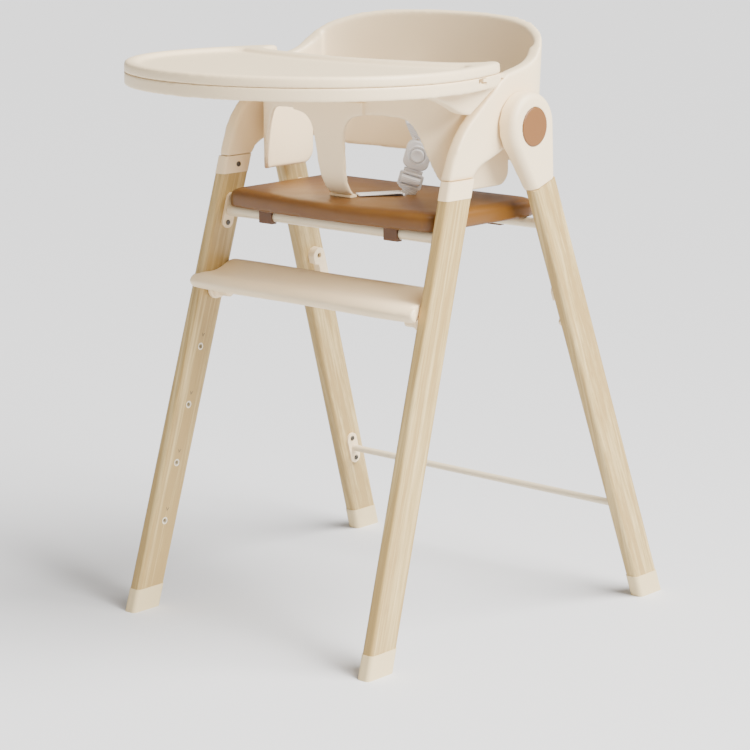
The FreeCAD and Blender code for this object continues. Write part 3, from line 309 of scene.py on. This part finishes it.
# a soft-edged version of a CAD piece that takes its place
def moulded(name, source, body, finish, voxel, rounds, hold=None, shape=None):
    start = bpy.data.meshes.new(name + "_start")
    joined = welded([nodes[source].data])
    joined.to_mesh(start)
    joined.free()
    obj = bpy.data.objects.new(name, start)
    scene.collection.objects.link(obj)
    remesh = obj.modifiers.new("remesh", "REMESH")
    remesh.mode, remesh.voxel_size = "VOXEL", voxel
    view = bpy.context.evaluated_depsgraph_get()
    mesh = bpy.data.meshes.new_from_object(obj.evaluated_get(view))
    obj.modifiers.clear()
    obj.data = mesh
    bpy.data.meshes.remove(start)
    mesh.name = name
    relax(mesh, rounds, hold)
    if shape:
        shape(mesh)
    dress(obj, finish)
    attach(obj, body)
    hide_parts(source)
    return obj


# shares that rise from 0 at a height to 1 over span
def above(level, span):
    return lambda place: np.clip((place[:, 2] - level) / span, 0, 1)


def below(level, span):
    return lambda place: np.clip((level - place[:, 2]) / span, 0, 1)


# voxel sizes and rounds of softening of each moulding, and the tray's seam, in metres
moulding = {"shellVoxel": 0.0023, "shellRounds": 9, "guardVoxel": 0.0017, "guardRounds": 5,
            "trayVoxel": 0.0022, "topRounds": 14, "bodyRounds": 6, "capVoxel": 0.0011, "capRounds": 6,
            "restVoxel": 0.0019, "restRounds": 8, "seam": 0.720, "seamKeep": 0.003, "seamSpan": 0.004,
            "adjusterVoxel": 0.0005, "adjusterRounds": 4}

moulded("shell_moulding", "seat_shell", "chair", "cream_plastic", moulding["shellVoxel"],
         moulding["shellRounds"])
moulded("guard_moulding", "front_guard", "chair", "cream_plastic", moulding["guardVoxel"],
         moulding["guardRounds"])
pocket = {"y": 0.052 + origin, "z": 0.652, "radius": 0.0248, "floor": 0.2180,
          "clear": 0.0015, "span": 0.002, "depth": 0.02, "sides": 96, "crease": 0.9}


# shares that fall to 0 at the pocket of the hub button
def awayFromPocket(place):
    reach = np.hypot(place[:, 1] - pocket["y"], place[:, 2] - pocket["z"])
    return np.clip((reach - pocket["radius"] - pocket["clear"]) / pocket["span"], 0, 1)


# cut a clean round pocket; centre is the middle of its depth and axis its direction
def bored(obj, centre, axis, radius, depth):
    bm = bmesh.new()
    bmesh.ops.create_cone(bm, cap_ends=True, segments=pocket["sides"], radius1=radius,
                          radius2=radius, depth=depth)
    turned = Vector(axis).to_track_quat("Z", "Y").to_matrix().to_4x4()
    bmesh.ops.transform(bm, matrix=Matrix.Translation(centre) @ turned, verts=bm.verts)
    tool = linked(bm, "bore")
    cut = obj.modifiers.new("bore", "BOOLEAN")
    cut.operation, cut.object, cut.solver, cut.use_self = "DIFFERENCE", tool, "EXACT", True
    view = bpy.context.evaluated_depsgraph_get()
    whole = bpy.data.meshes.new_from_object(obj.evaluated_get(view))
    obj.modifiers.clear()
    old, obj.data = obj.data, whole
    bpy.data.meshes.remove(old)
    bore = tool.data
    bpy.data.objects.remove(tool)
    bpy.data.meshes.remove(bore)
    edges = bmesh.new()
    edges.from_mesh(whole)
    for edge in edges.edges:
        if len(edge.link_faces) == 2 and edge.calc_face_angle(0) > pocket["crease"]:
            edge.smooth = False
    edges.to_mesh(whole)
    edges.free()


for side, way in (("left", 1), ("right", -1)):
    cap = moulded("cap_moulding_" + side, "hub_cap_" + side, "rear_frame", "cream_plastic",
                  moulding["capVoxel"], moulding["capRounds"], awayFromPocket)
    bored(cap, Vector((way * (pocket["floor"] + pocket["depth"] / 2), pocket["y"], pocket["z"])),
          (way, 0, 0), pocket["radius"], pocket["depth"])
moulded("tray_top", "tray_liner", "tray", "cream_plastic", moulding["trayVoxel"],
         moulding["topRounds"], above(moulding["seam"] + moulding["seamKeep"], moulding["seamSpan"]))
moulded("tray_body", "tray_base", "tray", "cream_plastic", moulding["trayVoxel"],
         moulding["bodyRounds"], below(moulding["seam"] - moulding["seamKeep"], moulding["seamSpan"]))
moulded("footrest_moulding", "footrest", "chair", "cream_plastic", moulding["restVoxel"],
         moulding["restRounds"])
print("stage: mouldings")


cushion = {"voxel": 0.003, "rounds": 4, "top": 0.555, "soft": 0.536, "crown": 0.0035,
           "span": 0.006, "half": 0.185, "front": -0.085, "rear": 0.139}


# the top falls away gently from the middle to the edges
def crown(mesh):
    mid = (cushion["front"] + cushion["rear"]) / 2
    for vertex in mesh.vertices:
        share = min(1, max(0, (vertex.co.z - cushion["soft"]) / (cushion["top"] - cushion["soft"])))
        across = vertex.co.x / cushion["half"]
        along = (vertex.co.y - mid) / (cushion["rear"] - mid)
        vertex.co.z -= cushion["crown"] * share * share * min(1, max(across ** 4, along ** 4))


seat = moulded("seat_cushion", "seat_pad", "chair", "tan_cushion", cushion["voxel"],
               cushion["rounds"], above(cushion["soft"], cushion["span"]), crown)
print("stage: cushion")


mark = {"wide": 0.0065, "high": 0.0055, "stroke": 0.0017, "above": 0.0155, "proud": 0.0003,
        "tip": 1.8, "apart": 0.02}
slant, lean = math.radians(frontSlope), math.radians(1.5)


# a small downward arrowhead printed above each open hole of a front leg
def heightMarks(side):
    inserts = nodes["leg_inserts_" + side]
    place = np.empty(len(inserts.data.vertices) * 3)
    inserts.data.vertices.foreach_get("co", place)
    place = place.reshape(-1, 3)
    order = place[np.argsort(place[:, 2])]
    groups = np.split(order, np.where(np.diff(order[:, 2]) > mark["apart"])[0] + 1)
    way = 1 if side == "left" else -1
    up = Vector((-way * math.sin(lean), math.sin(slant), math.cos(slant))).normalized()
    out = Vector((-way, 0, 0))
    out = (out - up * out.dot(up)).normalized()
    across = up.cross(out)
    w, h, t = mark["wide"] / 2, mark["high"] / 2, mark["stroke"]
    bm = bmesh.new()
    for group in groups[:-1]:
        centre = Vector((way * np.min(group[:, 0] * way), (group[:, 1].min() + group[:, 1].max()) / 2,
                         (group[:, 2].min() + group[:, 2].max()) / 2)) + up * mark["above"]
        for hand in (-1, 1):
            flat = [(0, -h), (hand * w, h), (hand * (w - t), h), (0, -h + t * mark["tip"])]
            low = [bm.verts.new(centre + across * u + up * v - out * mark["proud"])
                   for u, v in flat]
            high = [bm.verts.new(centre + across * u + up * v + out * mark["proud"])
                    for u, v in flat]
            bm.faces.new(low)
            bm.faces.new(high[::-1])
            for i in range(4):
                n = (i + 1) % 4
                bm.faces.new((low[i], high[i], high[n], low[n]))
    bmesh.ops.recalc_face_normals(bm, faces=bm.faces)
    obj = linked(bm, "height_marks_" + side)
    dress(obj, "print", smooth=False)
    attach(obj, "chair")


for side in ("left", "right"):
    heightMarks(side)
print("stage: marks")


def onBuckle(across, up, out):
    return harness["buckle"] + strapSide * across + strapUp * up + strapOut * out


strapUp = Vector((10, 2, 32)).normalized()
strapOut = Vector((0.55, -0.82, -0.12))
strapOut = (strapOut - strapUp * strapOut.dot(strapUp)).normalized()
strapSide = strapUp.cross(strapOut)
harness = {"buckle": Vector((0.068, 0.014 + origin, 0.607)), "wide": 0.034, "high": 0.038,
           "thick": 0.011, "press": 0.009, "web": 0.0125, "webThick": 0.0016,
           "cushionTop": 0.555, "slotX": 0.060, "slotZ": 0.692, "wallIn": 0.1545 + origin,
           "wallOut": 0.1667 + origin, "stepLength": 0.0022, "ringSides": 36,
           "corner": 0.010, "bodyDrop": 0.0012, "bodyEdge": 0.0028, "boreDepth": 0.0092,
           "pressGap": 0.0003, "padGap": 0.0011, "tapeGap": 0.0011, "stopHigh": 0.004}
# corners of the tape's section, in half widths and half thicknesses
harness["tapeEdge"] = [(-1, 0), (-0.985, 0.75), (-0.94, 1), (-0.5, 1), (0, 1), (0.5, 1), (0.94, 1),
                       (0.985, 0.75), (1, 0), (0.985, -0.75), (0.94, -1), (0, -1), (-0.94, -1),
                       (-0.985, -0.75)]
# radius and height over the buckle's face of each ring of the collar and the press button
harness["collarRings"] = ((0.0135, -0.003), (0.0135, -0.0008), (0.0130, 0), (0.0108, 0),
                          (0.0100, -0.0006), (0.0098, -0.003))
harness["pressRings"] = ((0.0085, -0.0018), (0.0090, -0.001), (0.0090, 0.0004), (0.0084, 0.0011),
                         (0.0070, 0.0012), (0.0055, 0.0007), (0.0020, 0.0004))
# where the crotch tape lies on the cushion: place, lift and width direction
harness["onCushion"] = ((0.011, -0.0385, 0.0002, 0.79, -0.62), (0.022, -0.0245, 0.0006, 0.79, -0.62),
                        (0.034, -0.0093, 0.0012, 0.76, -0.65), (0.046, 0.003, 0.0022, 0.79, -0.62))
# heights up the buckle and lifts off it where the tape folds round the adjuster
harness["adjusterFold"] = ((-0.0388, 0.0016), (-0.0382, 0.0042), (-0.0362, 0.0055),
                           (-0.0318, 0.0055), (-0.0298, 0.0042), (-0.0292, 0.0016))


# turn a piece built flat into the buckle's frame and put it in its CAD node's place
def placed(bm, name, finish, body, source):
    turned = Matrix((strapSide, strapUp, strapOut)).transposed().to_4x4()
    bmesh.ops.transform(bm, matrix=Matrix.Translation(harness["buckle"]) @ turned, verts=bm.verts)
    bmesh.ops.recalc_face_normals(bm, faces=bm.faces)
    obj = linked(bm, name)
    dress(obj, finish)
    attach(obj, body)
    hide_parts(source)
    return obj


# points round a rounded rectangle, anticlockwise
def roundedRing(wide, high, corner, steps=8):
    points = []
    for cx, cy, start in ((1, 1, 0), (-1, 1, 90), (-1, -1, 180), (1, -1, 270)):
        for i in range(steps + 1):
            angle = math.radians(start + 90 * i / steps)
            points.append((cx * (wide / 2 - corner) + corner * math.cos(angle),
                           cy * (high / 2 - corner) + corner * math.sin(angle)))
    return points


# a closed form through rings of the same number of points, capped at both ends
def stacked(rings):
    bm = bmesh.new()
    loops = [[bm.verts.new(point) for point in ring] for ring in rings]
    for low, high in zip(loops, loops[1:]):
        for i in range(len(low)):
            j = (i + 1) % len(low)
            bm.faces.new((low[i], low[j], high[j], high[i]))
    bm.faces.new(loops[0][::-1])
    bm.faces.new(loops[-1])
    return bm


# a rounded plate with softened edges, from low to top
def pillow(wide, high, corner, low, top, edge):
    levels = [(0.0, low)] + [(edge * (1 - math.sin(a)), low + edge * (1 - math.cos(a)))
                             for a in (0.5, 1.0, math.pi / 2)]
    levels += [(edge * (1 - math.sin(a)), top - edge * (1 - math.cos(a)))
               for a in (math.pi / 2, 1.0, 0.5, 0.0)]
    levels[0] = (edge, low)
    rings = [[(x, y, z) for x, y in roundedRing(wide - 2 * inset, high - 2 * inset,
                                                max(corner - inset, 0.0005))]
             for inset, z in levels]
    return stacked(rings)


h = harness
face = h["thick"] / 2


# a turned form whose rings stand on the buckle's face
def turnedForm(rings):
    angles = [2 * math.pi * i / h["ringSides"] for i in range(h["ringSides"])]
    return stacked([[(math.cos(t) * radius, math.sin(t) * radius, face + z) for t in angles]
                    for radius, z in rings])


bodyMesh = pillow(h["wide"], h["high"], h["corner"], -face, face - h["bodyDrop"], h["bodyEdge"])
collar = turnedForm(h["collarRings"])
collarMesh = bpy.data.meshes.new("collar")
collar.to_mesh(collarMesh)
collar.free()
bodyMesh.from_mesh(collarMesh)
buckle = placed(bodyMesh, "buckle_moulding", "grey_plastic", "chair", "buckle_body")
bored(buckle, onBuckle(0, 0, face), strapOut, h["press"] + h["pressGap"], h["boreDepth"])
placed(turnedForm(h["pressRings"]), "buckle_press", "grey_plastic", "buckle_button", "buckle_button")


# points and width directions resampled evenly along a rounded route
def smoothed(points, step):
    made = []
    for i in range(len(points) - 1):
        a, b = points[i], points[i + 1]
        before, after = points[max(i - 1, 0)], points[min(i + 2, len(points) - 1)]
        count = max(3, int((b[0] - a[0]).length / step))
        for k in range(count + (i == len(points) - 2)):
            t = k / count
            value = []
            for part in (0, 1):
                p0, p1, p2, p3 = before[part], a[part], b[part], after[part]
                value.append(0.5 * (2 * p1 + (p2 - p0) * t + (2 * p0 - 5 * p1 + 4 * p2 - p3) * t * t
                                    + (3 * p1 - p0 - 3 * p2 + p3) * t ** 3))
            made.append(value)
    return made


# woven tape along a route of (place, width direction); u runs along it, v across
def tape(name, source, route, hem=None):
    line = smoothed([(Vector(p), Vector(w).normalized()) for p, w in route], harness["stepLength"])
    half, thick = harness["web"], harness["webThick"] / 2
    profile = harness["tapeEdge"]
    bm = bmesh.new()
    layer = bm.loops.layers.uv.new("tape")
    rings, run = [], 0.0
    for i, (centre, width) in enumerate(line):
        ahead = line[min(i + 1, len(line) - 1)][0] - line[max(i - 1, 0)][0]
        normal = ahead.cross(width).normalized()
        side = normal.cross(ahead).normalized()
        if i:
            run += (centre - line[i - 1][0]).length
        rings.append((run, [bm.verts.new(centre + side * (u * half) + normal * (v * thick))
                            for u, v in profile]))
    count = len(profile)
    for (low, a), (high, b) in zip(rings, rings[1:]):
        for i in range(count):
            j = (i + 1) % count
            face = bm.faces.new((a[i], a[j], b[j], b[i]))
            spots = ((low, i), (low, j), (high, j), (high, i))
            for loop, (along, corner) in zip(face.loops, spots):
                loop[layer].uv = (along, profile[corner][0] * half)
    bm.faces.new(rings[0][1][::-1])
    bm.faces.new(rings[-1][1])
    if hem:
        low, high = hem
        for vertex in bmesh.ops.create_cube(bm, size=1)["verts"]:
            vertex.co = Vector(low[axis] + (vertex.co[axis] + 0.5) * (high[axis] - low[axis])
                               for axis in range(3))
    bmesh.ops.recalc_face_normals(bm, faces=bm.faces)
    obj = linked(bm, name)
    dress(obj, "webbing")
    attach(obj, "chair")
    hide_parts(source)
    return obj


def onPad(x, y, lift):
    return Vector((x, y + origin, h["cushionTop"] + h["padGap"] + lift))


foot = onBuckle(0, -0.047, 0)
padRoute = [(onPad(x, y, lift), (wideX, wideY, 0)) for x, y, lift, wideX, wideY in h["onCushion"]]
padRoute += [(foot + Vector((-0.003, -0.003, -0.005)), strapSide)]
padRoute += [(onBuckle(0, up, 0), strapSide) for up in (-0.043, -0.030, -0.0195)]
tape("crotch_webbing", "crotch_strap", padRoute)
fan = onBuckle(-0.017, 0.0457, 0)
for side, label in ((1, "left"), (-1, "right")):
    lift = strapOut * (h["tapeGap"] * side)
    route = [(onBuckle(0, 0.0197, 0) + lift, strapSide), (onBuckle(0, 0.0237, 0) + lift, strapSide),
             (onBuckle(-0.007, 0.0317, 0) + lift, strapSide)]
    if side > 0:
        route += [(fan + lift * 3, strapSide), (onBuckle(-0.020, 0.0587, 0) + lift * 3, strapSide),
                  ((0.065, 0.080 + origin, 0.683), (1, 0.04, 0))]
    else:
        route += [(fan + lift, strapSide), ((0, 0.080 + origin, 0.664), (0.8, 0.6, 0))]
    x = side * h["slotX"]
    route += [((x, h["wallIn"] - 0.030, h["slotZ"] - 0.003), (1, -side * 0.1, 0)),
              ((x, h["wallIn"] - 0.004, h["slotZ"]), (1, 0, 0)),
              ((x, h["wallOut"] + 0.002, h["slotZ"]), (1, 0, 0))]
    stop = h["stopHigh"]
    tape("shoulder_webbing_" + label, "shoulder_strap_" + label, route,
         hem=((x - h["web"], h["wallOut"], h["slotZ"] - stop),
              (x + h["web"], h["wallOut"] + stop, h["slotZ"] + stop)))
moulded("adjuster_moulding", "strap_adjuster", "chair", "grey_plastic",
         moulding["adjusterVoxel"], moulding["adjusterRounds"])
tape("adjuster_fold", "crotch_strap",
     [(onBuckle(0, up, out), strapSide) for up, out in h["adjusterFold"]])
print("stage: harness")


studio = {"azimuth": 41.28, "elevation": 12.31, "distance": 3.24783, "lens": 118.1,
          "target": (0.00714, origin, 0.31187), "sensor": 36,
          "sunPlace": (1.5, 0.5, 2.3), "sunStrength": 9.2, "sunSpread": 45,
          "sunTint": (1.0, 0.995, 0.985), "keyPlace": (2.4, -0.2, 1.9), "keySize": 1.0,
          "keyPower": 95, "fillPlace": (-2.6, -2.0, 1.2), "fillSize": 1.6, "fillPower": 7,
          "fillTint": (1.0, 0.95, 0.87), "lampAim": (0, 0, 0.5), "worldStrength": 0.46,
          "floorReach": 30}


def aimed(obj, place, target):
    obj.location = place
    obj.rotation_euler = (Vector(target) - Vector(place)).to_track_quat("-Z", "Y").to_euler()
    scene.collection.objects.link(obj)
    return obj


turn, tip = math.radians(studio["azimuth"]), math.radians(studio["elevation"])
back = Vector((math.sin(turn) * math.cos(tip), -math.cos(turn) * math.cos(tip), math.sin(tip)))
lens = bpy.data.cameras.new("camera")
lens.lens, lens.sensor_width = studio["lens"], studio["sensor"]
camera = aimed(bpy.data.objects.new("camera", lens),
               Vector(studio["target"]) + back * studio["distance"], studio["target"])
scene.camera = camera


def areaLight(name, place, target, size, power, tint=(1, 1, 1)):
    light = bpy.data.lights.new(name, "AREA")
    light.shape, light.size, light.energy, light.color = "DISK", size, power, tint
    return aimed(bpy.data.objects.new(name, light), place, target)


def sunLight(name, place, strength, spread, tint):
    light = bpy.data.lights.new(name, "SUN")
    light.energy, light.angle, light.color = strength, math.radians(spread), tint
    return aimed(bpy.data.objects.new(name, light), place, (0, 0, 0))


sunLight("sky panel", studio["sunPlace"], studio["sunStrength"], studio["sunSpread"], studio["sunTint"])
areaLight("key", studio["keyPlace"], studio["lampAim"], studio["keySize"], studio["keyPower"])
areaLight("fill", studio["fillPlace"], studio["lampAim"], studio["fillSize"], studio["fillPower"],
          studio["fillTint"])
world = bpy.data.worlds.new("studio")
scene.world = world
world.use_nodes = True
sky = world.node_tree.nodes["Background"].inputs
sky["Color"].default_value, sky["Strength"].default_value = linear("sky"), studio["worldStrength"]

floorMesh = bpy.data.meshes.new("floor")
corners = [(x * studio["floorReach"], y * studio["floorReach"], 0)
           for x, y in ((-1, -1), (1, -1), (1, 1), (-1, 1))]
floorMesh.from_pydata(corners, [], [(0, 1, 2, 3)])
floor = bpy.data.objects.new("floor", floorMesh)
scene.collection.objects.link(floor)
floorMesh.materials.append(material("matt floor", "floor", 0.7))

print("stage: studio")
